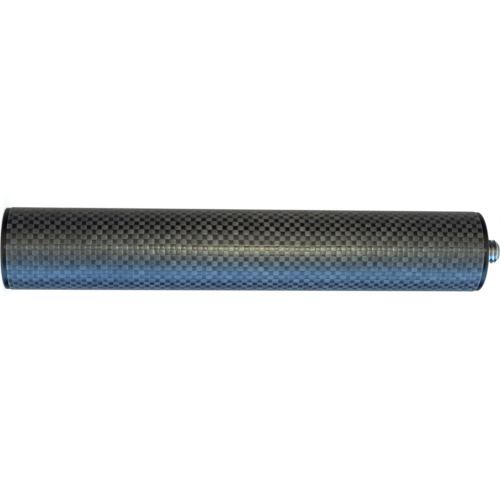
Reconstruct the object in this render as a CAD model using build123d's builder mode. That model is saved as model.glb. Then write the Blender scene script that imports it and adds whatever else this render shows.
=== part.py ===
"""Tripod leg extension: a carbon fibre tube with a turned cap bonded into each end.

It stands on its socket end, as it does in use, with the stud that screws into the leg pointing up.
Its axis is the Z axis, and the origin is the middle of its foot, at the mouth of the tapped socket.
All sizes are in millimetres.
"""

from build123d import *
import os
from math import cos, radians, tan

# Whole extension, over the outer faces of both caps, and how far the stud stands out of the upper one
BODY_LENGTH = 186.0
STUD_REACH = 8.0

# Carbon tube
TUBE_OD = 32.0
TUBE_WALL = 2.0
TUBE_OUTER_EDGE = 0.2
TUBE_INNER_EDGE = 0.6

# Cap flanges
FLANGE_STEP = 0.25
FLANGE_THICKNESS = 2.2
FLANGE_OUTER_CHAMFER = 0.4
FLANGE_INNER_CHAMFER = 0.15

# Cap spigots, bonded into the bore of the tube
CAP_FLOOR = 3.8
SPIGOT_LEAD = 1.0
GLUE_GAP = 0.05
GLUE_GROOVES = 3
GLUE_GROOVE_WIDTH = 2.0
GLUE_GROOVE_DEPTH = 0.5

# Camera thread of 3/8 inch and 16 turns an inch, shared by the socket and the stud. Its turns are left out:
# the free end of the stud has the width of its crests, a tapped hole the width of its tapping drill,
# and where the stud sits in its cap both have the width halfway up the thread
THREAD_MAJOR_D = 9.525
THREAD_PITCH = 25.4 / 16
THREAD_HALFWAY_DROP = 0.325 * THREAD_PITCH
DRILL_POINT_ANGLE = 118.0
HOLE_MOUTH_MARGIN = 0.4

# Drilled depth of the tapped socket in the lower cap
SOCKET_DEPTH = 15.0

# Stud, and its tapped seat in the upper cap
STUD_ENGAGEMENT = 13.5
STUD_END_CHAMFER = 1.6
SEAT_CHAMFER = 0.15
STUD_CLEARANCE = 0.04
TAP_RUN_OUT = 2.5

# Hexagon socket in the tip of the stud
KEY_ACROSS_FLATS = 4.76
KEY_DEPTH = 4.8
KEY_MOUTH_MARGIN = 0.2

TUBE_R = TUBE_OD / 2
BORE_R = TUBE_R - TUBE_WALL
FLANGE_R = TUBE_R - FLANGE_STEP
SPIGOT_R = BORE_R - GLUE_GAP

THREAD_R = THREAD_MAJOR_D / 2
TAP_DRILL_R = (THREAD_MAJOR_D - THREAD_PITCH) / 2
ENGAGED_R = THREAD_R - THREAD_HALFWAY_DROP
STUD_HOLE_R = ENGAGED_R + STUD_CLEARANCE
HOLE_MOUTH_R = THREAD_R + HOLE_MOUTH_MARGIN
DRILL_POINT = TAP_DRILL_R / tan(radians(DRILL_POINT_ANGLE / 2))
STUD_TIP_Z = BODY_LENGTH + STUD_REACH
STUD_LENGTH = STUD_REACH + STUD_ENGAGEMENT
STUD_DRILL_DEPTH = STUD_ENGAGEMENT + TAP_RUN_OUT
CAP_LENGTH = max(SOCKET_DEPTH, STUD_DRILL_DEPTH) + DRILL_POINT + CAP_FLOOR

KEY_R = KEY_ACROSS_FLATS / 2
KEY_MOUTH_R = KEY_R / cos(radians(30)) + KEY_MOUTH_MARGIN

# Half sections are drawn as (out from the axis, in from the outer end of the piece)
LOWER_CAP_SECTION = Plane.XZ
UPPER_CAP_SECTION = Plane(origin=(0, 0, BODY_LENGTH), x_dir=(1, 0, 0), z_dir=(0, 1, 0))
STUD_SECTION = Plane(origin=(0, 0, STUD_TIP_Z), x_dir=(1, 0, 0), z_dir=(0, 1, 0))

# Turned outline that both caps share: face, flange, and spigot with a chamfered lead
CAP_OUTLINE = [
    (0, 0),
    (FLANGE_R - FLANGE_OUTER_CHAMFER, 0),
    (FLANGE_R, FLANGE_OUTER_CHAMFER),
    (FLANGE_R, FLANGE_THICKNESS - FLANGE_INNER_CHAMFER),
    (FLANGE_R - FLANGE_INNER_CHAMFER, FLANGE_THICKNESS),
    (SPIGOT_R, FLANGE_THICKNESS),
    (SPIGOT_R, CAP_LENGTH - SPIGOT_LEAD),
    (SPIGOT_R - SPIGOT_LEAD, CAP_LENGTH),
    (0, CAP_LENGTH),
]
GROOVE_PITCH = (CAP_LENGTH - SPIGOT_LEAD - FLANGE_THICKNESS) / (GLUE_GROOVES + 1)
GROOVE_CENTRES = [(SPIGOT_R, FLANGE_THICKNESS + GROOVE_PITCH * (i + 1)) for i in range(GLUE_GROOVES)]

# Outline of the stud from its tip: free end, then the stretch that is screwed into the cap
STUD_OUTLINE = [
    (0, 0),
    (THREAD_R - STUD_END_CHAMFER, 0),
    (THREAD_R, STUD_END_CHAMFER),
    (THREAD_R, STUD_REACH),
    (ENGAGED_R, STUD_REACH),
    (ENGAGED_R, STUD_LENGTH - SEAT_CHAMFER),
    (ENGAGED_R - SEAT_CHAMFER, STUD_LENGTH),
    (0, STUD_LENGTH),
]


def drilled_outline(depth):
    """Half section of the hole that is drilled for tapping, with its countersunk mouth and its drill point."""
    return [
        (0, 0),
        (HOLE_MOUTH_R, 0),
        (TAP_DRILL_R, HOLE_MOUTH_R - TAP_DRILL_R),
        (TAP_DRILL_R, depth),
        (0, depth + DRILL_POINT),
    ]


# Carbon tube, seated between the two flanges
with BuildPart() as carbon_tube:
    with BuildSketch(Plane.XY.offset(FLANGE_THICKNESS)):
        Circle(TUBE_R)
        Circle(BORE_R, mode=Mode.SUBTRACT)
    extrude(amount=BODY_LENGTH - 2 * FLANGE_THICKNESS)
    rims = carbon_tube.edges().filter_by(GeomType.CIRCLE).group_by(SortBy.RADIUS)
    chamfer(rims[-1], TUBE_OUTER_EDGE)
    chamfer(rims[0], TUBE_INNER_EDGE)

# Lower cap, with the tapped socket
with BuildPart() as socket_end_cap:
    with BuildSketch(LOWER_CAP_SECTION):
        with BuildLine():
            Polyline(*CAP_OUTLINE, close=True)
        make_face()
        with Locations(*GROOVE_CENTRES):
            Rectangle(2 * GLUE_GROOVE_DEPTH, GLUE_GROOVE_WIDTH, mode=Mode.SUBTRACT)
        with BuildLine():
            Polyline(*drilled_outline(SOCKET_DEPTH), close=True)
        make_face(mode=Mode.SUBTRACT)
    revolve(axis=Axis.Z)

# Upper cap, whose hole is opened out as far as the stud goes in
with BuildPart() as stud_end_cap:
    with BuildSketch(UPPER_CAP_SECTION):
        with BuildLine():
            Polyline(*CAP_OUTLINE, close=True)
        make_face()
        with Locations(*GROOVE_CENTRES):
            Rectangle(2 * GLUE_GROOVE_DEPTH, GLUE_GROOVE_WIDTH, mode=Mode.SUBTRACT)
        with BuildLine():
            Polyline(*drilled_outline(STUD_DRILL_DEPTH), close=True)
        make_face(mode=Mode.SUBTRACT)
        Rectangle(STUD_HOLE_R, STUD_ENGAGEMENT, align=(Align.MIN, Align.MIN), mode=Mode.SUBTRACT)
    revolve(axis=Axis.Z)

# Stud: a set screw with its hexagon socket outwards
with BuildPart() as threaded_stud:
    with BuildSketch(STUD_SECTION):
        with BuildLine():
            Polyline(*STUD_OUTLINE, close=True)
        make_face()
    revolve(axis=Axis.Z)
    with BuildSketch(Plane.XY.offset(STUD_TIP_Z)):
        RegularPolygon(KEY_R, 6, major_radius=False)
    extrude(amount=-KEY_DEPTH, mode=Mode.SUBTRACT)
    with Locations(Plane.XY.offset(STUD_TIP_Z)):
        Cone(0, KEY_MOUTH_R, KEY_MOUTH_R, align=(Align.CENTER, Align.CENTER, Align.MAX), mode=Mode.SUBTRACT)

os.makedirs("parts", exist_ok=True)
carbon_tube.part.label = "carbon_tube"
export_step(carbon_tube.part, "parts/carbon_tube.step")
socket_end_cap.part.label = "socket_end_cap"
export_step(socket_end_cap.part, "parts/socket_end_cap.step")
stud_end_cap.part.label = "stud_end_cap"
export_step(stud_end_cap.part, "parts/stud_end_cap.step")
threaded_stud.part.label = "threaded_stud"
export_step(threaded_stud.part, "parts/threaded_stud.step")
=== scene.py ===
import math

import bpy
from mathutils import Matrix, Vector


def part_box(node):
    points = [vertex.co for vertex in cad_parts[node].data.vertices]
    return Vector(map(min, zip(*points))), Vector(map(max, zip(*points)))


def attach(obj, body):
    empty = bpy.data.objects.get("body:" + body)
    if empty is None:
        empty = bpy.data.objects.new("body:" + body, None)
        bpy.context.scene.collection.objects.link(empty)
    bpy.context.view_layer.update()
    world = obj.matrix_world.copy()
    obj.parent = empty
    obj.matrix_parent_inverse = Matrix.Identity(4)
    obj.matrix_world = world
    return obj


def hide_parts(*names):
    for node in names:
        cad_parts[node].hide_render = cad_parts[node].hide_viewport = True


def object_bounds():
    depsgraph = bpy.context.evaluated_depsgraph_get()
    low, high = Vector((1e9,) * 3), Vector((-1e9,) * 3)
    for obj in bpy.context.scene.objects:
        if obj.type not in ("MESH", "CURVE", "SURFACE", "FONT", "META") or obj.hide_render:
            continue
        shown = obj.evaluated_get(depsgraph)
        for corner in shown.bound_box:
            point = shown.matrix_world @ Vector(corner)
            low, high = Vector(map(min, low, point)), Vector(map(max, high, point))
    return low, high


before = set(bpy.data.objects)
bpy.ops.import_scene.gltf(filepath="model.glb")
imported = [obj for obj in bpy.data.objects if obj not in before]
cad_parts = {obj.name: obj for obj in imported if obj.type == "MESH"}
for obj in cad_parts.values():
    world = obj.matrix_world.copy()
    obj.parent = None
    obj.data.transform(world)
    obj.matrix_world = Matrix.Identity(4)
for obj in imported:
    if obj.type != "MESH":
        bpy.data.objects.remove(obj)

bl_info = {
    "name": "Tripod Leg Extension",
    "version": (1, 0, 0),
    "blender": (4, 5, 0),
    "location": "3D View > Sidebar > Leg Extension",
    "description": "Woven carbon tube, turned caps and stud of a tripod leg extension, in a plain studio",
    "category": "Object",
}

MM = 0.001
FULL_TURN = 2 * math.pi

# Vertices nearer than this are one, and places nearer than NEAR count as the same place
MERGE_DISTANCE = 0.0005 * MM
NEAR = 0.01 * MM

CAD_LOW, CAD_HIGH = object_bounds()
TUBE_LOW, TUBE_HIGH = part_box("carbon_tube")
LOWER_CAP_LOW, LOWER_CAP_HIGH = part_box("socket_end_cap")
UPPER_CAP_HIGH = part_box("stud_end_cap")[1]
STUD_LOW, STUD_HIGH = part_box("threaded_stud")


class TubeSettings(bpy.types.PropertyGroup):
    """Sizes of the woven tube, and the finish of its fibres and lacquer."""

    wall: bpy.props.FloatProperty(
        name="Wall", description="Thickness of the laminate", default=2.0 * MM, unit="LENGTH")
    outer_edge: bpy.props.FloatProperty(
        name="Outer edge", description="Chamfer round the outside of each cut end", default=0.2 * MM,
        unit="LENGTH")
    inner_edge: bpy.props.FloatProperty(
        name="Inner edge", description="Chamfer round the bore at each cut end", default=0.6 * MM,
        unit="LENGTH")
    tows_around: bpy.props.IntProperty(
        name="Axial tows", description="Tows that run along the tube, counted round it. An even number",
        default=50)
    tows_along: bpy.props.IntProperty(
        name="Hoop tows", description="Tows that run round the tube, counted along it", default=92)
    steps_per_tow: bpy.props.IntProperty(
        name="Steps per tow", description="Steps of the surface mesh over each tow", default=4)
    shift_around: bpy.props.FloatProperty(
        name="Shift around", description="Where the first axial tow starts, in tow widths", default=0.338)
    shift_along: bpy.props.FloatProperty(
        name="Shift along", description="Where the first hoop tow starts, in tow widths", default=1.08)
    relief: bpy.props.FloatProperty(
        name="Relief", description="Depth of the grooves between the tows in the lacquer", default=0.025 * MM,
        unit="LENGTH")
    crimp: bpy.props.FloatProperty(
        name="Crimp", description="How far the fibres rise over a crossing, under the lacquer",
        default=0.07 * MM, unit="LENGTH")
    ripple: bpy.props.FloatProperty(
        name="Ripple", description="How far the lacquer's surface follows the edges of the pads",
        default=0.04 * MM, unit="LENGTH")
    strand_depth: bpy.props.FloatProperty(
        name="Strand depth", description="Depth of the fine lines along the fibres", default=0.004 * MM,
        unit="LENGTH")
    strands_per_tow: bpy.props.FloatProperty(
        name="Strands", description="Fine lines across one tow", default=9.0)
    axial_roughness: bpy.props.FloatProperty(
        name="Axial roughness", description="Roughness of the tows that run along the tube", default=0.50)
    hoop_roughness: bpy.props.FloatProperty(
        name="Hoop roughness", description="Roughness of the tows that run round the tube", default=0.42)
    anisotropy: bpy.props.FloatProperty(
        name="Anisotropy", description="How far the fibres shine only across their own direction",
        default=0.96)
    lacquer_roughness: bpy.props.FloatProperty(
        name="Lacquer roughness", description="Roughness of the clear lacquer", default=0.14)
    lacquer_index: bpy.props.FloatProperty(
        name="Lacquer index", description="Refractive index of the clear lacquer", default=1.45)
    # The two tow colours are lit and shaded copies of one black fibre: the axial tows are painted lighter and
    # the hoop tows painted darker, as the light falls on the weave
    lit_axial_colour: bpy.props.FloatVectorProperty(
        name="Axial fibres", description="Colour of the tows that run along the tube", subtype="COLOR",
        size=3, min=0, max=1, default=(0.165, 0.163, 0.157))
    shaded_hoop_colour: bpy.props.FloatVectorProperty(
        name="Hoop fibres", description="Colour of the tows that run round the tube", subtype="COLOR",
        size=3, min=0, max=1, default=(0.044, 0.044, 0.045))


class CapSettings(bpy.types.PropertyGroup):
    """Sizes of the two turned caps, and their finish."""

    flange_thickness: bpy.props.FloatProperty(
        name="Flange", description="Thickness of the flange that covers the tube's end", default=2.2 * MM,
        unit="LENGTH")
    outer_chamfer: bpy.props.FloatProperty(
        name="Outer chamfer", description="Chamfer round the face", default=0.4 * MM, unit="LENGTH")
    inner_chamfer: bpy.props.FloatProperty(
        name="Inner chamfer", description="Chamfer of the flange at the tube's end", default=0.15 * MM,
        unit="LENGTH")
    spigot_radius: bpy.props.FloatProperty(
        name="Spigot radius", description="Radius of the part that is bonded in the bore", default=13.95 * MM,
        unit="LENGTH")
    spigot_lead: bpy.props.FloatProperty(
        name="Lead", description="Chamfer at the end of the spigot", default=1.0 * MM, unit="LENGTH")
    groove_width: bpy.props.FloatProperty(
        name="Groove width", description="Width of a glue groove", default=2.0 * MM, unit="LENGTH")
    groove_depth: bpy.props.FloatProperty(
        name="Groove depth", description="Depth of a glue groove", default=0.5 * MM, unit="LENGTH")
    grooves: bpy.props.IntProperty(name="Grooves", description="Glue grooves round each spigot", default=3)
    socket_depth: bpy.props.FloatProperty(
        name="Socket depth", description="Drilled depth of the lower cap", default=15.0 * MM, unit="LENGTH")
    seat_depth: bpy.props.FloatProperty(
        name="Seat depth", description="Drilled depth of the upper cap, which holds the stud",
        default=16.0 * MM, unit="LENGTH")
    edge_round: bpy.props.FloatProperty(
        name="Edge rounding", description="Radius on the turned edges", default=0.05 * MM, unit="LENGTH")
    roughness: bpy.props.FloatProperty(
        name="Roughness", description="Roughness of the anodised surface", default=0.12)
    ring_depth: bpy.props.FloatProperty(
        name="Ring depth", description="Depth of the fine rings that turning leaves", default=0.001 * MM,
        unit="LENGTH")
    ring_scale: bpy.props.FloatProperty(
        name="Ring scale", description="Fine rings in a metre", default=9000.0)
    colour: bpy.props.FloatVectorProperty(
        name="Anodising", description="Colour of the anodised caps", subtype="COLOR",
        size=3, min=0, max=1, default=(0.004, 0.004, 0.005))


class StudSettings(bpy.types.PropertyGroup):
    """Sizes of the camera thread, its holes and the stud, and the stud's plating."""

    pitch: bpy.props.FloatProperty(
        name="Pitch", description="Rise of the thread in one turn", default=25.4 / 16 * MM, unit="LENGTH")
    thread_depth: bpy.props.FloatProperty(
        name="Thread depth", description="From crest to root, as a share of the pitch", default=0.6134)
    crest_flat: bpy.props.FloatProperty(
        name="Crest", description="Width of the crest, as a share of the pitch", default=0.125)
    flank_angle: bpy.props.FloatProperty(
        name="Flank angle", description="Slope of each side of the thread", default=math.radians(30),
        subtype="ANGLE")
    end_chamfer: bpy.props.FloatProperty(
        name="End chamfer", description="Chamfer round the free end, and half of it round the other",
        default=1.6 * MM, unit="LENGTH")
    clearance: bpy.props.FloatProperty(
        name="Clearance", description="Gap between the stud and its tapped seat", default=0.04 * MM,
        unit="LENGTH")
    tap_drill_radius: bpy.props.FloatProperty(
        name="Tap drill", description="Radius of the hole before it is tapped", default=3.96875 * MM,
        unit="LENGTH")
    mouth_margin: bpy.props.FloatProperty(
        name="Countersink", description="How far the countersunk mouth clears the crests", default=0.4 * MM,
        unit="LENGTH")
    tap_overrun: bpy.props.FloatProperty(
        name="Tap overrun", description="How far the tap stands out of the cap's face", default=0.7 * MM,
        unit="LENGTH")
    tap_short: bpy.props.FloatProperty(
        name="Tap run-out", description="Drilled depth below the socket's last turn of thread",
        default=1.5 * MM, unit="LENGTH")
    seat_run_out: bpy.props.FloatProperty(
        name="Seat run-out", description="How far the seat's thread goes on below the stud", default=0.3 * MM,
        unit="LENGTH")
    drill_point: bpy.props.FloatProperty(
        name="Drill point", description="Angle of the drill's point", default=math.radians(118),
        subtype="ANGLE")
    key_across: bpy.props.FloatProperty(
        name="Key", description="Hexagon socket, across its flats", default=4.76 * MM, unit="LENGTH")
    key_depth: bpy.props.FloatProperty(
        name="Key depth", description="Depth of the hexagon socket", default=4.8 * MM, unit="LENGTH")
    key_margin: bpy.props.FloatProperty(
        name="Key mouth", description="How far its countersink clears the corners", default=0.2 * MM,
        unit="LENGTH")
    colour: bpy.props.FloatVectorProperty(
        name="Zinc", description="Colour of the plating", subtype="COLOR",
        size=3, min=0, max=1, default=(0.74, 0.76, 0.79))
    root_colour: bpy.props.FloatVectorProperty(
        name="Root tint", description="What the plating's colour is multiplied by at the roots",
        subtype="COLOR", size=3, min=0, max=1, default=(0.50, 0.48, 0.42))
    mottle_depth: bpy.props.FloatProperty(
        name="Mottle depth", description="Unevenness of the plating", default=0.006 * MM, unit="LENGTH")


class StudioSettings(bpy.types.PropertyGroup):
    """Camera, lamps, floor and background."""

    camera_distance: bpy.props.FloatProperty(
        name="Camera distance", description="From the tube's axis", default=427.8 * MM, unit="LENGTH")
    camera_height: bpy.props.FloatProperty(
        name="Camera height", description="Above the foot", default=61.4 * MM, unit="LENGTH")
    camera_turn: bpy.props.FloatProperty(
        name="Camera turn", description="Turn towards the stud", default=0.0774, subtype="ANGLE")
    camera_roll: bpy.props.FloatProperty(
        name="Camera roll", description="Past the quarter turn that lays the tube across the picture",
        default=0.0069, subtype="ANGLE")
    focal_ratio: bpy.props.FloatProperty(
        name="Focal ratio", description="Focal length over the picture's width", default=1090.6 / 500)
    background: bpy.props.FloatVectorProperty(
        name="Background", description="Colour of the background", subtype="COLOR",
        size=3, min=0, max=1, default=(1.0, 1.0, 1.0))
    floor_radius: bpy.props.FloatProperty(
        name="Floor", description="Radius of the round floor sheet", default=0.25, unit="LENGTH")
    floor_colour: bpy.props.FloatVectorProperty(
        name="Floor colour", description="Colour of the floor sheet", subtype="COLOR",
        size=3, min=0, max=1, default=(0.80, 0.80, 0.80))
    floor_glow: bpy.props.FloatProperty(
        name="Floor glow", description="How far the floor sheet is lifted to the background's white",
        default=0.62)
    surroundings: bpy.props.FloatVectorProperty(
        name="Surroundings", description="Colour of the light from all round", subtype="COLOR",
        size=3, min=0, max=1, default=(0.52, 0.54, 0.57))


def select_only(obj):
    """Leave edit mode, and make obj the one object that is selected and active."""
    if bpy.context.object is not None and bpy.context.object.mode != "OBJECT":
        bpy.ops.object.mode_set(mode="OBJECT")
    bpy.ops.object.select_all(action="DESELECT")
    obj.select_set(True)
    bpy.context.view_layer.objects.active = obj


def clear_selection():
    """Leave edit mode with nothing selected, before a new primitive is added."""
    if bpy.context.object is not None and bpy.context.object.mode != "OBJECT":
        bpy.ops.object.mode_set(mode="OBJECT")
    bpy.ops.object.select_all(action="DESELECT")


def named(name):
    """Name the new object and its mesh, and put its origin at the frame's origin."""
    obj = bpy.context.object
    obj.name = name
    obj.data.name = name
    bpy.ops.object.transform_apply(location=True, rotation=True, scale=True)
    return obj


def pick(obj, kind, test):
    """In edit mode, select the edges or faces of obj that pass the test, and nothing else."""
    select_only(obj)
    bpy.ops.object.mode_set(mode="EDIT")
    bpy.ops.mesh.select_mode(type=kind)
    bpy.ops.mesh.select_all(action="DESELECT")
    bpy.ops.object.mode_set(mode="OBJECT")
    items = {"EDGE": obj.data.edges, "FACE": obj.data.polygons}[kind]
    for item in items:
        item.select = test(item)
    bpy.ops.object.mode_set(mode="EDIT")


def face_outwards(obj):
    """Merge doubled vertices and turn every face outwards."""
    select_only(obj)
    bpy.ops.object.mode_set(mode="EDIT")
    bpy.ops.mesh.select_mode(type="VERT")
    bpy.ops.mesh.select_all(action="SELECT")
    bpy.ops.mesh.remove_doubles(threshold=MERGE_DISTANCE)
    bpy.ops.mesh.normals_make_consistent(inside=False)
    bpy.ops.object.mode_set(mode="OBJECT")


def apply_modifier(obj, kind, **settings):
    """Add a modifier to obj and apply it."""
    select_only(obj)
    bpy.ops.object.modifier_add(type=kind)
    modifier = obj.modifiers[-1]
    for name, value in settings.items():
        setattr(modifier, name, value)
    bpy.ops.object.modifier_apply(modifier=modifier.name)


def combine(obj, tool, operation):
    """Cut obj with the tool, or keep what the two share, and remove the tool."""
    apply_modifier(obj, "BOOLEAN", object=tool, operation=operation, solver="EXACT")
    bpy.data.objects.remove(tool)


def turned(name, outline, segments=192):
    """Turn a solid from its outline of (radius, height) points. A last radius of 0 is a drill's point."""
    clear_selection()
    radius, height = outline[0]
    bpy.ops.mesh.primitive_circle_add(
        vertices=segments, radius=radius, fill_type="NGON", location=(0, 0, height))
    obj = named(name)
    bpy.ops.object.mode_set(mode="EDIT")
    bpy.ops.mesh.select_mode(type="FACE")
    bpy.ops.mesh.select_all(action="SELECT")
    for next_radius, next_height in outline[1:]:
        bpy.ops.mesh.extrude_region_move(TRANSFORM_OT_translate={"value": (0, 0, next_height - height)})
        if next_radius > 0:
            ratio = next_radius / radius
            bpy.ops.transform.resize(value=(ratio, ratio, 1), center_override=(0, 0, next_height))
        else:
            bpy.ops.mesh.merge(type="CENTER")
        radius, height = next_radius, next_height
    face_outwards(obj)
    return obj


def threaded(name, crest_radius, root_radius, start, end, stud, segments=96):
    """Wind one turn's profile into a solid thread from start to end. Two threads of one pitch are in step."""
    pitch = stud.pitch
    flank = (crest_radius - root_radius) * math.tan(stud.flank_angle)
    crest = stud.crest_flat * pitch
    root = pitch - crest - 2 * flank
    rise = [(0, root), (crest_radius - root_radius, flank), (0, crest), (root_radius - crest_radius, flank)]
    first = (math.floor(start / pitch) - 1) * pitch
    turns = math.ceil((end - first) / pitch) + 1

    clear_selection()
    bpy.ops.mesh.primitive_plane_add(size=1 * MM, location=(root_radius, 0, first))
    obj = named(name)
    bpy.ops.object.mode_set(mode="EDIT")
    bpy.ops.mesh.select_all(action="SELECT")
    bpy.ops.mesh.merge(type="CENTER")
    for outwards, upwards in rise:
        bpy.ops.mesh.extrude_vertices_move(TRANSFORM_OT_translate={"value": (outwards, 0, upwards)})
    bpy.ops.object.mode_set(mode="OBJECT")
    apply_modifier(obj, "SCREW", axis="Z", angle=FULL_TURN, screw_offset=pitch, iterations=turns,
                   steps=segments, render_steps=segments, use_merge_vertices=True,
                   merge_threshold=2 * MERGE_DISTANCE)
    select_only(obj)
    bpy.ops.object.mode_set(mode="EDIT")
    for height, upwards in ((start, -1), (end, 1)):
        bpy.ops.mesh.select_all(action="SELECT")
        bpy.ops.mesh.bisect(plane_co=(0, 0, height), plane_no=(0, 0, upwards), use_fill=True,
                            clear_outer=True, threshold=2 * MERGE_DISTANCE)
    bpy.ops.object.mode_set(mode="OBJECT")
    face_outwards(obj)
    return obj


class Graph:
    """Adds and links the nodes of one material or world."""

    def __init__(self, owner):
        owner.use_nodes = True
        self.tree = owner.node_tree
        self.tree.nodes.clear()

    def put(self, socket, value):
        """Link the socket to another one, or set its own value."""
        if isinstance(value, bpy.types.NodeSocket):
            self.tree.links.new(value, socket)
        else:
            socket.default_value = value

    def add(self, kind, inputs=None, **settings):
        """Add one node with its settings, and link or set its inputs by name or number."""
        node = self.tree.nodes.new(kind)
        for name, value in settings.items():
            setattr(node, name, value)
        for key, value in (inputs or {}).items():
            self.put(node.inputs[key], value)
        return node

    def math(self, operation, *values, clamp=False):
        """One Math node's result."""
        node = self.add("ShaderNodeMath", operation=operation, use_clamp=clamp)
        for socket, value in zip(node.inputs, values):
            self.put(socket, value)
        return node.outputs["Value"]

    def step(self, value, low, high):
        """A smooth step from 0 to 1, as the value goes from low to high."""
        node = self.add("ShaderNodeMapRange", {"Value": value, "From Min": low, "From Max": high},
                        interpolation_type="SMOOTHSTEP")
        return node.outputs["Result"]

    def between(self, factor, first, second):
        """A number that goes from first to second as the factor goes from 0 to 1."""
        node = self.add("ShaderNodeMix", {0: factor, 2: first, 3: second}, data_type="FLOAT")
        return node.outputs[0]

    def blend(self, factor, first, second, mode="MIX"):
        """A colour that goes from first to second as the factor goes from 0 to 1."""
        node = self.add("ShaderNodeMix", {0: factor, 6: first, 7: second}, data_type="RGBA", blend_type=mode)
        return node.outputs[2]

    def ramp(self, value, stops):
        """A colour that runs through the stops, as the value goes from 0 at -180 degrees to 1 at 180."""
        node = self.add("ShaderNodeValToRGB", {"Fac": value})
        elements = node.color_ramp.elements
        for i, (degrees, colour) in enumerate(stops):
            place = degrees / 360 + 0.5
            element = elements[i] if i < 2 else elements.new(place)
            element.position = place
            element.color = (*colour, 1.0)
        return node.outputs["Color"]

    def crown(self, rise, reach, across, flatness):
        """Height of a tow over a crossing: flat on top, then down at its ends and steeply at its sides."""
        fall = self.math("DIVIDE", self.math("SUBTRACT", 1.0, rise), reach, clamp=True)
        top = self.math("SUBTRACT", 1.0, self.math("POWER", fall, flatness))
        return self.math("MULTIPLY", top, self.math("POWER", across, TOW_SIDE))

    def pair(self, first, second):
        """A vector made of two numbers."""
        return self.add("ShaderNodeCombineXYZ", {0: first, 1: second}).outputs["Vector"]

    def vector(self, operation, *values, output="Vector"):
        """One Vector Math node's result."""
        node = self.add("ShaderNodeVectorMath", operation=operation)
        for socket, value in zip(node.inputs, values):
            self.put(socket, value)
        return node.outputs[output]

    def radius(self, place):
        """How far the place is from the tube's axis."""
        return self.vector("LENGTH", self.vector("MULTIPLY", place, (1, 1, 0)), output="Value")

    def shaded(self, colour, shade):
        """The colour times a number."""
        grey = self.add("ShaderNodeCombineXYZ", {0: shade, 1: shade, 2: shade}).outputs["Vector"]
        return self.blend(1.0, colour, grey, "MULTIPLY")

    def drifted(self, place, angle, height, waves):
        """A place on the cloth in tow widths, moved by its slow waves."""
        for share, turns, length, phase in waves:
            climb = self.math("MULTIPLY_ADD", height, FULL_TURN / length, phase)
            wave = self.math("SINE", self.math("MULTIPLY_ADD", angle, turns, climb))
            place = self.math("MULTIPLY_ADD", wave, share, place)
        return place

    def noise(self, vector, scale, roughness=0.5):
        """Smooth noise from 0 to 1, with three finer layers in it."""
        node = self.add("ShaderNodeTexNoise",
                        {"Vector": vector, "Scale": scale, "Detail": 3.0, "Roughness": roughness})
        return node.outputs["Fac"]

    def bump(self, height):
        """Normal of a surface with that height in metres."""
        node = self.add("ShaderNodeBump", {"Height": height, "Distance": 1.0, "Strength": 1.0})
        return node.outputs["Normal"]


# How far an axial pad reaches over its two neighbours, how much it narrows towards the sides of its tow,
# and how soft its edge is
PAD_REACH = 0.30
PAD_TAPER = 0.5
PAD_EDGE = 0.20

# How flat the top of a tow is on its way over a crossing, as a power: axial tows, then hoop tows
AXIAL_FLATNESS = 2.5
HOOP_FLATNESS = 5.0

# How square a tow is across its width, as a power from 1, pointed, down to 0, square
TOW_SIDE = 0.35

# Light and dark, as shares of a tow's colour: the lots of the crossings, and the strands in a tow
CROSSING_SHADES = (0.75, 1.25)
STRAND_SHADES = (0.30, 1.70)

# Painted shade, as shares of a tow's colour: in the hollows at the seams between hoop tows, in those at the
# seams between axial tows, and painted light on top; and the height at which a tow gets the full painted
# light of its top
HOOP_SEAM_PAINTED_SHADE = 1.0
AXIAL_SEAM_PAINTED_SHADE = 0.90
TOP_PAINTED_LIGHT = 1.05
PAINTED_SHADE_HEIGHT = 0.6

# Changes of shade along one strand, in each tow that it crosses
STRAND_CHANGES = 0.5

# Slow waves of the cloth: share of a tow's width, turns round the tube, length along it, and phase
DRIFT_AROUND = ((0.09, 2, 0.083, 0.4), (0.05, -5, 0.037, 1.9), (0.03, 9, 0.021, 4.0))
DRIFT_ALONG = ((0.08, 3, 0.071, 2.2), (0.05, -7, 0.045, 0.7), (0.03, 12, -0.026, 3.1))

# The room that polished surfaces mirror, as light at degrees round from the camera. First what stands level
# with the tube: dark on one side, a dim warm wall in front, a window with blue sky on the other side
ROOM_LEVEL = (
    (-180, (0.3, 0.3, 0.3)),
    (-120, (0.2, 0.2, 0.2)),
    (-90, (0.0, 0.0, 0.1)),
    (-60, (0.0, 0.0, 0.1)),
    (-20, (0.6, 0.5, 0.3)),
    (10, (0.5, 0.5, 0.3)),
    (40, (0.0, 0.2, 0.4)),
    (55, (0.1, 1.0, 2.2)),
    (65, (0.6, 2.0, 4.2)),
    (85, (0.5, 1.8, 4.0)),
    (100, (0.0, 0.3, 1.0)),
    (115, (0.0, 0.0, 0.2)),
    (150, (0.2, 0.3, 0.4)),
    (180, (0.3, 0.3, 0.3)),
)

# Then what stands well above and below it: the ceiling and the table
ROOM_BEYOND = (
    (-180, (0.6, 0.8, 0.8)),
    (-90, (0.3, 0.3, 0.3)),
    (-60, (0.1, 0.1, 0.1)),
    (-30, (0.6, 0.6, 0.5)),
    (0, (1.4, 1.4, 1.4)),
    (35, (1.6, 1.8, 2.0)),
    (60, (2.2, 2.8, 3.4)),
    (85, (2.2, 2.8, 3.4)),
    (105, (1.2, 1.6, 2.0)),
    (125, (0.5, 0.8, 1.0)),
    (180, (0.6, 0.8, 0.8)),
)

# Height of the level part of the room, as the rise of a direction: its middle, and where it ends
LEVEL_RISE = 0.06
LEVEL_INSIDE = 0.18
LEVEL_OUTSIDE = 0.50

# Lamps on stands: name, degrees round from the camera, width, height and brightness in that colour
LAMPS = (
    ("left_front_lamp", -35, 0.20, 0.16, 0.50, (0.95, 1.00, 0.90)),
    ("warm_front_lamp", 2, 0.20, 0.16, 4.00, (1.00, 0.96, 0.60)),
    ("bulb", -3, 0.02, 0.12, 15.0, (1.00, 0.90, 0.30)),
    ("tall_lamp", -4, 0.02, 0.40, 5.00, (0.80, 0.97, 1.00)),
)
LAMP_DISTANCE = 0.52
LAMP_HEIGHT = 0.15

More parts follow.
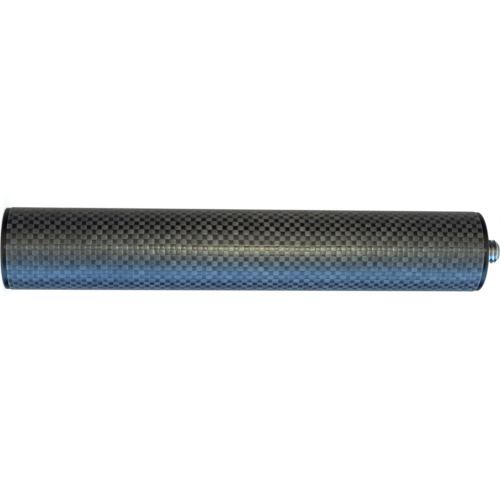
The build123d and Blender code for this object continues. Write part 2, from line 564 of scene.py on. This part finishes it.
# Size of the smudges on the caps and of the mottle in the zinc, as noise scales
SMUDGE_SCALE = 180.0
MOTTLE_SCALE = 900.0

# What smudges make of the caps' colour and roughness, as shares of them
SMUDGE_SHADES = (0.8, 1.2)
SMUDGE_ROUGHNESS = (0.8, 1.25)

# Zinc: its dullest mottle as a share of its colour, its roughness, and what the roots add to that
DULL_ZINC = 0.86
ZINC_ROUGHNESS = (0.08, 0.18)
ROOT_ROUGHNESS = 0.10

# Edges sharper than these stay sharp
TUBE_SMOOTH_ANGLE = math.radians(30)
THREAD_SMOOTH_ANGLE = math.radians(25)

# Hoop tows in each of the first steps along the tube
TOWS_IN_FIRST_STEP = 10


def opaque(colour):
    """A colour with its alpha, as colour sockets take it."""
    return (*colour, 1.0)


def drift(angle, height, waves):
    """How far the tows wander there, in tow widths."""
    return sum(share * math.sin(turns * angle + FULL_TURN * height / length + phase)
               for share, turns, length, phase in waves)


def weave_at(around, along):
    """Relief of the lacquer over the weave at a place in tow widths, from 0 in a hollow to 1 on a pad."""
    wave_around, wave_along = math.sin(math.pi * around), math.sin(math.pi * along)
    longer = math.copysign(wave_along, wave_along * wave_around) + PAD_REACH
    pad = longer - PAD_TAPER * (1 - abs(wave_around)) ** 2
    share = min(max((pad / PAD_EDGE + 1) / 2, 0), 1)
    share = share * share * (3 - 2 * share)
    axial_arch = max(longer, 0) / (1 + PAD_REACH) * abs(wave_around)
    hoop_arch = max(-math.copysign(wave_around, wave_around * wave_along), 0) * abs(wave_along)
    return hoop_arch + (axial_arch - hoop_arch) * share


def woven_material(tube):
    """Clear lacquer over a plain weave of carbon tows, whose fibres shine across their own direction."""
    material = bpy.data.materials.new("woven_carbon")
    graph = Graph(material)
    place = graph.add("ShaderNodeTexCoord").outputs["Object"]
    axes = graph.add("ShaderNodeSeparateXYZ", {"Vector": place}).outputs
    pitch = (TUBE_HIGH.z - TUBE_LOW.z) / tube.tows_along

    # Place on the cloth in tow widths, with the small waves that the cloth takes when it is laid
    angle = graph.math("ARCTAN2", axes["Y"], axes["X"])
    around = graph.math("MULTIPLY_ADD", angle, tube.tows_around / FULL_TURN, tube.shift_around)
    around = graph.drifted(around, angle, axes["Z"], DRIFT_AROUND)
    along = graph.math("MULTIPLY_ADD", axes["Z"], 1 / pitch, tube.shift_along - TUBE_LOW.z / pitch)
    along = graph.drifted(along, angle, axes["Z"], DRIFT_ALONG)

    # Waves of the two sets of tows, whose signs tell which one is on top
    wave_around = graph.math("SINE", graph.math("MULTIPLY", around, math.pi))
    wave_along = graph.math("SINE", graph.math("MULTIPLY", along, math.pi))
    axial_crown = graph.math("ABSOLUTE", wave_around)
    hoop_crown = graph.math("ABSOLUTE", wave_along)
    axial_rise = graph.math("MULTIPLY", graph.math("SIGN", wave_around), wave_along)
    axial_fall = graph.math("MULTIPLY", graph.math("SIGN", wave_along), wave_around)
    hoop_rise = graph.math("MULTIPLY", axial_fall, -1.0)

    # Axial tows show as pads with rounded corners, a little longer than a tow is wide
    longer = graph.math("ADD", axial_rise, PAD_REACH)
    aside = graph.math("SUBTRACT", 1.0, axial_crown)
    taper = graph.math("MULTIPLY", graph.math("MULTIPLY", aside, aside), PAD_TAPER)
    axial = graph.step(graph.math("SUBTRACT", longer, taper), -PAD_EDGE, PAD_EDGE)

    # Fibres climb over each crossing and fall off at the sides of their tow
    axial_arch = graph.crown(axial_rise, 1 + PAD_REACH, axial_crown, AXIAL_FLATNESS)
    hoop_arch = graph.crown(hoop_rise, 1.0, hoop_crown, HOOP_FLATNESS)
    height = graph.between(axial, hoop_arch, axial_arch)

    # Strands inside the tows, fine lines along their fibres
    on_cloth = graph.pair(around, along)
    fine, coarse = tube.strands_per_tow, STRAND_CHANGES
    axial_strands = graph.noise(graph.vector("MULTIPLY", on_cloth, (fine, coarse, 0)), 1.0)
    hoop_strands = graph.noise(graph.vector("MULTIPLY", on_cloth, (coarse, fine, 0)), 1.0)
    strands = graph.between(axial, hoop_strands, axial_strands)

    # Each crossing has its own share of light and dark
    crossing = graph.vector("FLOOR", on_cloth)
    lot = graph.add("ShaderNodeTexWhiteNoise", {"Vector": crossing}, noise_dimensions="2D").outputs["Value"]
    own_shade, strand_shade = graph.between(lot, *CROSSING_SHADES), graph.between(strands, *STRAND_SHADES)
    shade = graph.math("MULTIPLY", own_shade, strand_shade)
    # Painted shade: the hollows where the tows dive under each other are darkened, and the tops are lightened
    seam_painted_shade = graph.between(axial, HOOP_SEAM_PAINTED_SHADE, AXIAL_SEAM_PAINTED_SHADE)
    on_top = graph.step(height, 0.0, PAINTED_SHADE_HEIGHT)
    shade = graph.math("MULTIPLY", shade, graph.between(on_top, seam_painted_shade, TOP_PAINTED_LIGHT))
    # Painted light and shade: axial tows take the lighter copy of the fibre's colour, hoop tows the darker
    # copy
    colour = graph.blend(axial, opaque(tube.shaded_hoop_colour), opaque(tube.lit_axial_colour))

    # Fibres shine across their own direction
    along_axis = (0, 0, 1)
    round_axis = graph.vector("NORMALIZE", graph.vector("CROSS_PRODUCT", along_axis, place))
    tangent = graph.add("ShaderNodeMix", {0: graph.math("ROUND", axial), 4: along_axis, 5: round_axis},
                        data_type="VECTOR").outputs[1]
    fibre_height = graph.math("MULTIPLY_ADD", strands, tube.strand_depth,
                              graph.math("MULTIPLY", height, tube.crimp))
    shader = graph.add("ShaderNodeBsdfPrincipled", {
        "Base Color": graph.shaded(colour, shade),
        "Metallic": 1.0,
        "Roughness": graph.between(axial, tube.hoop_roughness, tube.axial_roughness),
        "Anisotropic": tube.anisotropy,
        "Tangent": tangent,
        "Normal": graph.bump(fibre_height),
        "Coat Weight": 1.0,
        "Coat Roughness": tube.lacquer_roughness,
        "Coat IOR": tube.lacquer_index,
        "Coat Normal": graph.bump(graph.math("MULTIPLY", height, tube.ripple)),
    })
    graph.add("ShaderNodeOutputMaterial", {"Surface": shader.outputs[0]})
    return material


def anodised_material(cap):
    """Black anodising over the fine rings of a lathe, on the faces and round the sides alike."""
    material = bpy.data.materials.new("black_anodising")
    graph = Graph(material)
    place = graph.add("ShaderNodeTexCoord").outputs["Object"]
    height = graph.add("ShaderNodeSeparateXYZ", {"Vector": place}).outputs["Z"]
    rings = graph.noise(graph.pair(graph.radius(place), height), cap.ring_scale, roughness=0.65)
    smudges = graph.noise(place, SMUDGE_SCALE)
    clean, smudged = [share * cap.roughness for share in SMUDGE_ROUGHNESS]
    shader = graph.add("ShaderNodeBsdfPrincipled", {
        "Base Color": graph.shaded(opaque(cap.colour), graph.between(smudges, *SMUDGE_SHADES)),
        "Roughness": graph.between(smudges, clean, smudged),
        "Normal": graph.bump(graph.math("MULTIPLY", rings, cap.ring_depth)),
    })
    graph.add("ShaderNodeOutputMaterial", {"Surface": shader.outputs[0]})
    return material


def zinc_material(stud, root_radius, crest_radius):
    """Bright zinc plating, darker and rougher down in the thread."""
    material = bpy.data.materials.new("zinc_plating")
    graph = Graph(material)
    place = graph.add("ShaderNodeTexCoord").outputs["Object"]
    # Darker and rougher towards the roots of the thread, lightest at the crests
    out_to_crest = graph.step(graph.radius(place), root_radius, crest_radius)
    mottle = graph.noise(place, MOTTLE_SCALE, roughness=0.6)
    dull = opaque([DULL_ZINC * channel for channel in stud.colour])
    bright = graph.blend(mottle, opaque(stud.colour), dull)
    root = graph.blend(1.0, bright, opaque(stud.root_colour), "MULTIPLY")
    roughness = graph.between(mottle, *ZINC_ROUGHNESS)
    shader = graph.add("ShaderNodeBsdfPrincipled", {
        "Base Color": graph.blend(out_to_crest, root, bright),
        "Metallic": 1.0,
        "Roughness": graph.math("ADD", roughness, graph.between(out_to_crest, ROOT_ROUGHNESS, 0.0)),
        "Normal": graph.bump(graph.math("MULTIPLY", mottle, stud.mottle_depth)),
    })
    graph.add("ShaderNodeOutputMaterial", {"Surface": shader.outputs[0]})
    return material


class LEG_OT_woven_tube(bpy.types.Operator):
    """Model the carbon tube with the relief of its weave"""

    bl_idname = "leg_extension.woven_tube"
    bl_label = "Woven tube"

    def execute(self, context):
        tube = context.scene.leg_extension_tube
        radius, low, high = TUBE_HIGH.x, TUBE_LOW.z, TUBE_HIGH.z
        steps_around = tube.tows_around * tube.steps_per_tow
        steps_along = tube.tows_along * tube.steps_per_tow

        clear_selection()
        bpy.ops.mesh.primitive_cylinder_add(
            vertices=steps_around, radius=radius, depth=high - low, location=(0, 0, (low + high) / 2),
            rotation=(0, 0, -FULL_TURN * tube.shift_around / tube.tows_around))
        obj = named("woven_tube")

        # Open the ends to the bore
        pick(obj, "FACE", lambda face: abs(face.normal.z) > 0.5)
        bpy.ops.mesh.inset(thickness=tube.wall)
        bpy.ops.mesh.bridge_edge_loops()
        bpy.ops.object.mode_set(mode="OBJECT")

        def on_bore_end(edge):
            start, end = [obj.data.vertices[i].co for i in edge.vertices]
            widest = max(start.xy.length, end.xy.length)
            return abs(start.z - end.z) < NEAR and widest < radius - tube.wall / 2

        pick(obj, "EDGE", on_bore_end)
        bpy.ops.mesh.bevel(offset=tube.inner_edge, segments=2, profile=0.5)
        bpy.ops.object.mode_set(mode="OBJECT")

        def on_outer_end(edge):
            start, end = [obj.data.vertices[i].co for i in edge.vertices]
            narrowest = min(start.xy.length, end.xy.length)
            return abs(start.z - end.z) < NEAR and narrowest > radius - NEAR

        pick(obj, "EDGE", on_outer_end)
        bpy.ops.mesh.bevel(offset=tube.outer_edge, segments=2, profile=0.5)
        bpy.ops.object.mode_set(mode="OBJECT")

        # Step the outside along its length in two goes, and leave the short edges of the bevels as they are
        longest_bevel = 0.7 * MM

        def is_long_and_outside(edge):
            start, end = [obj.data.vertices[i].co for i in edge.vertices]
            narrowest = min(start.xy.length, end.xy.length)
            return abs(start.z - end.z) > longest_bevel and narrowest > radius - NEAR

        coarse = tube.tows_along // TOWS_IN_FIRST_STEP
        for cuts in (coarse - 1, steps_along // coarse - 1):
            pick(obj, "EDGE", is_long_and_outside)
            bpy.ops.mesh.subdivide(number_cuts=cuts)
            bpy.ops.object.mode_set(mode="OBJECT")
        face_outwards(obj)

        # Press the grooves between the tows into the outside, between its two bevelled rims
        tow_length = (high - low) / tube.tows_along
        group = obj.vertex_groups.new(name="grooves")
        rim = tube.outer_edge * 1.5
        for vertex in obj.data.vertices:
            place = vertex.co
            if place.xy.length > radius - NEAR and low + rim < place.z < high - rim:
                angle = math.atan2(place.y, place.x)
                around = angle / FULL_TURN * tube.tows_around + tube.shift_around
                around += drift(angle, place.z, DRIFT_AROUND)
                along = (place.z - low) / tow_length + tube.shift_along + drift(angle, place.z, DRIFT_ALONG)
                group.add([vertex.index], 1 - weave_at(around, along), "REPLACE")
        apply_modifier(obj, "DISPLACE", vertex_group=group.name, strength=-tube.relief, mid_level=0.0)
        obj.vertex_groups.clear()

        select_only(obj)
        bpy.ops.object.shade_smooth_by_angle(angle=TUBE_SMOOTH_ANGLE)
        obj.data.materials.clear()
        obj.data.materials.append(woven_material(tube))
        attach(obj, "root")
        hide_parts("carbon_tube")
        return {"FINISHED"}


def cap_blank(name, cap, face, inwards, length):
    """Turn a cap without its hole, from its face at that height towards the middle of the tube."""
    flange_radius = UPPER_CAP_HIGH.x
    spigot = cap.spigot_radius
    outline = [
        (flange_radius - cap.outer_chamfer, 0),
        (flange_radius, cap.outer_chamfer),
        (flange_radius, cap.flange_thickness - cap.inner_chamfer),
        (flange_radius - cap.inner_chamfer, cap.flange_thickness),
        (spigot, cap.flange_thickness),
    ]
    spacing = (length - cap.spigot_lead - cap.flange_thickness) / (cap.grooves + 1)
    for i in range(cap.grooves):
        middle = cap.flange_thickness + spacing * (i + 1)
        start, end = middle - cap.groove_width / 2, middle + cap.groove_width / 2
        floor = spigot - cap.groove_depth
        outline += [(spigot, start), (floor, start), (floor, end), (spigot, end)]
    outline += [(spigot, length - cap.spigot_lead), (spigot - cap.spigot_lead, length)]
    blank = turned(name, [(radius, face + inwards * depth) for radius, depth in outline])
    apply_modifier(blank, "BEVEL", width=cap.edge_round, segments=2, limit_method="ANGLE",
                   angle_limit=math.radians(30))
    return blank


def drilled(face, inwards, depth, thread_radius, stud, overrun=0.5 * MM):
    """The drill with its countersink, as a solid that stands a little out of the face."""
    mouth = thread_radius + stud.mouth_margin
    drill = stud.tap_drill_radius
    point = drill / math.tan(stud.drill_point / 2)
    outline = [(mouth + overrun, -overrun), (drill, mouth - drill), (drill, depth), (0, depth + point)]
    return turned("drill", [(radius, face + inwards * reach) for radius, reach in outline])


class LEG_OT_end_caps(bpy.types.Operator):
    """Turn, drill and tap the two caps"""

    bl_idname = "leg_extension.end_caps"
    bl_label = "End caps"

    def execute(self, context):
        cap = context.scene.leg_extension_cap
        stud = context.scene.leg_extension_stud
        crest = STUD_HIGH.x
        root = crest - stud.thread_depth * stud.pitch
        material = anodised_material(cap)

        length = LOWER_CAP_HIGH.z - LOWER_CAP_LOW.z
        lower = cap_blank("socket_cap", cap, LOWER_CAP_LOW.z, 1, length)
        combine(lower, drilled(LOWER_CAP_LOW.z, 1, cap.socket_depth, crest, stud), "DIFFERENCE")
        tap = threaded("tap", crest + stud.clearance, root + stud.clearance,
                       LOWER_CAP_LOW.z - stud.tap_overrun,
                       LOWER_CAP_LOW.z + cap.socket_depth - stud.tap_short, stud)
        combine(lower, tap, "DIFFERENCE")

        upper = cap_blank("stud_cap", cap, UPPER_CAP_HIGH.z, -1, length)
        combine(upper, drilled(UPPER_CAP_HIGH.z, -1, cap.seat_depth, crest, stud), "DIFFERENCE")
        tap = threaded("tap", crest + stud.clearance, root + stud.clearance,
                       STUD_LOW.z - stud.seat_run_out, UPPER_CAP_HIGH.z + stud.tap_overrun, stud)
        combine(upper, tap, "DIFFERENCE")

        for piece, node in ((lower, "socket_end_cap"), (upper, "stud_end_cap")):
            face_outwards(piece)
            select_only(piece)
            bpy.ops.object.shade_smooth_by_angle(angle=THREAD_SMOOTH_ANGLE)
            piece.data.materials.clear()
            piece.data.materials.append(material)
            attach(piece, "root")
            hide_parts(node)
        return {"FINISHED"}


class LEG_OT_stud(bpy.types.Operator):
    """Cut the stud with its thread, end chamfer and hexagon socket"""

    bl_idname = "leg_extension.stud"
    bl_label = "Threaded stud"

    def execute(self, context):
        stud = context.scene.leg_extension_stud
        crest = STUD_HIGH.x
        root = crest - stud.thread_depth * stud.pitch
        low, tip = STUD_LOW.z, STUD_HIGH.z

        obj = threaded("stud_screw", crest, root, low, tip, stud)
        clear_of_crest = 0.3 * MM
        past_end = 0.5 * MM
        chamfer = stud.end_chamfer
        blank = turned("blank", [
            (crest - chamfer / 2 - past_end, low - past_end),
            (crest + clear_of_crest, low + chamfer / 2 + clear_of_crest),
            (crest + clear_of_crest, tip - chamfer - clear_of_crest),
            (crest - chamfer - past_end, tip + past_end),
        ])
        combine(obj, blank, "INTERSECT")

        clear_selection()
        corner = stud.key_across / 2 / math.cos(math.radians(30))
        bpy.ops.mesh.primitive_cylinder_add(
            vertices=6, radius=corner, depth=2 * stud.key_depth, location=(0, 0, tip))
        combine(obj, named("key"), "DIFFERENCE")
        mouth = corner + stud.key_margin
        overrun = 0.2 * MM
        countersink = turned("key_mouth", [(mouth + overrun, tip + overrun), (0, tip - mouth)], 96)
        combine(obj, countersink, "DIFFERENCE")

        face_outwards(obj)
        select_only(obj)
        bpy.ops.object.shade_smooth_by_angle(angle=THREAD_SMOOTH_ANGLE)
        obj.data.materials.clear()
        obj.data.materials.append(zinc_material(stud, root, crest))
        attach(obj, "root")
        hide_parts("threaded_stud")
        return {"FINISHED"}


def room_light(graph, direction):
    """Light that polished surfaces mirror from that direction."""
    axes = graph.add("ShaderNodeSeparateXYZ", {"Vector": direction}).outputs
    turn = graph.math("ARCTAN2", axes["X"], graph.math("MULTIPLY", axes["Y"], -1.0))
    turn = graph.math("MULTIPLY_ADD", turn, 1 / FULL_TURN, 0.5)
    rise = graph.math("ABSOLUTE", graph.math("SUBTRACT", axes["Z"], LEVEL_RISE))
    beyond = graph.step(rise, LEVEL_INSIDE, LEVEL_OUTSIDE)
    return graph.blend(beyond, graph.ramp(turn, ROOM_LEVEL), graph.ramp(turn, ROOM_BEYOND))


def lamp(name, degrees, width, height, brightness, colour):
    """A soft rectangular lamp on the camera's side, turned towards the tube."""
    turn = math.radians(degrees)
    middle = (CAD_LOW + CAD_HIGH) / 2
    place = Vector((LAMP_DISTANCE * math.sin(turn), -LAMP_DISTANCE * math.cos(turn), LAMP_HEIGHT))
    bpy.ops.object.light_add(type="AREA", location=place)
    obj = bpy.context.object
    obj.name = name
    obj.data.name = name
    obj.data.shape = "RECTANGLE"
    obj.data.size = width
    obj.data.size_y = height
    # A lamp's power grows with its area, and its brightness stays
    obj.data.energy = brightness * math.pi * width * height
    obj.data.color = colour
    obj.rotation_euler = (middle - place).to_track_quat("-Z", "Y").to_euler()
    obj.visible_camera = False


class LEG_OT_studio(bpy.types.Operator):
    """Set up the floor, background, lamps and camera"""

    bl_idname = "leg_extension.studio"
    bl_label = "Studio"

    def execute(self, context):
        studio = context.scene.leg_extension_studio
        context.scene.view_settings.view_transform = "Standard"

        clear_selection()
        bpy.ops.mesh.primitive_circle_add(
            vertices=96, radius=studio.floor_radius, fill_type="NGON", location=(0, 0, CAD_LOW.z))
        floor = named("floor")
        material = bpy.data.materials.new("floor_sheet")
        graph = Graph(material)
        rays = graph.add("ShaderNodeLightPath").outputs
        matt = graph.add("ShaderNodeBsdfDiffuse", {"Color": opaque(studio.floor_colour)})
        seen = graph.math("MULTIPLY", rays["Is Camera Ray"], studio.floor_glow)
        glow = graph.add("ShaderNodeEmission", {"Color": opaque(studio.background), "Strength": seen})
        sheet = graph.add("ShaderNodeAddShader", {0: matt.outputs[0], 1: glow.outputs[0]})
        graph.add("ShaderNodeOutputMaterial", {"Surface": sheet.outputs[0]})
        floor.data.materials.append(material)
        floor.visible_glossy = False

        world = bpy.data.worlds.new("studio")
        context.scene.world = world
        graph = Graph(world)
        rays = graph.add("ShaderNodeLightPath").outputs
        direction = graph.add("ShaderNodeTexCoord").outputs["Generated"]
        mirrored = graph.math("MAXIMUM", rays["Is Glossy Ray"], rays["Is Transmission Ray"])
        light = graph.blend(mirrored, opaque(studio.surroundings), room_light(graph, direction))
        light = graph.blend(rays["Is Camera Ray"], light, opaque(studio.background))
        shader = graph.add("ShaderNodeBackground", {"Color": light, "Strength": 1.0})
        graph.add("ShaderNodeOutputWorld", {"Surface": shader.outputs[0]})
        world.cycles.sampling_method = "NONE"

        for settings in LAMPS:
            lamp(*settings)

        distance, height = studio.camera_distance, studio.camera_height
        bpy.ops.object.camera_add(location=(0, -distance, height))
        camera = context.object
        camera.name = "camera"
        camera.data.lens = studio.focal_ratio * camera.data.sensor_width
        aim = Vector((0, 0, height + distance * math.tan(studio.camera_turn)))
        level = (aim - camera.location).to_track_quat("-Z", "Y").to_matrix().to_4x4()
        roll = math.pi / 2 + studio.camera_roll
        camera.rotation_euler = (level @ level.Rotation(roll, 4, "Z")).to_euler()
        context.scene.camera = camera
        return {"FINISHED"}


class LEG_PT_panel(bpy.types.Panel):
    """Lists the steps that make the leg extension"""

    bl_label = "Leg Extension"
    bl_idname = "LEG_PT_panel"
    bl_space_type = "VIEW_3D"
    bl_region_type = "UI"
    bl_category = "Leg Extension"

    def draw(self, context):
        for step in STEPS:
            self.layout.operator(step.bl_idname)


STEPS = (LEG_OT_woven_tube, LEG_OT_end_caps, LEG_OT_stud, LEG_OT_studio)
SETTINGS = {
    "leg_extension_tube": TubeSettings,
    "leg_extension_cap": CapSettings,
    "leg_extension_stud": StudSettings,
    "leg_extension_studio": StudioSettings,
}


def register():
    """Register the settings, the steps and the panel."""
    for name, settings in SETTINGS.items():
        bpy.utils.register_class(settings)
        setattr(bpy.types.Scene, name, bpy.props.PointerProperty(type=settings))
    for step in STEPS:
        bpy.utils.register_class(step)
    bpy.utils.register_class(LEG_PT_panel)


def unregister():
    """Take them all out again."""
    bpy.utils.unregister_class(LEG_PT_panel)
    for step in reversed(STEPS):
        bpy.utils.unregister_class(step)
    for name, settings in SETTINGS.items():
        delattr(bpy.types.Scene, name)
        bpy.utils.unregister_class(settings)


def main():
    """Make every piece in order."""
    register()
    bpy.ops.leg_extension.woven_tube()
    bpy.ops.leg_extension.end_caps()
    bpy.ops.leg_extension.stud()
    bpy.ops.leg_extension.studio()


if __name__ == "__main__":
    main()
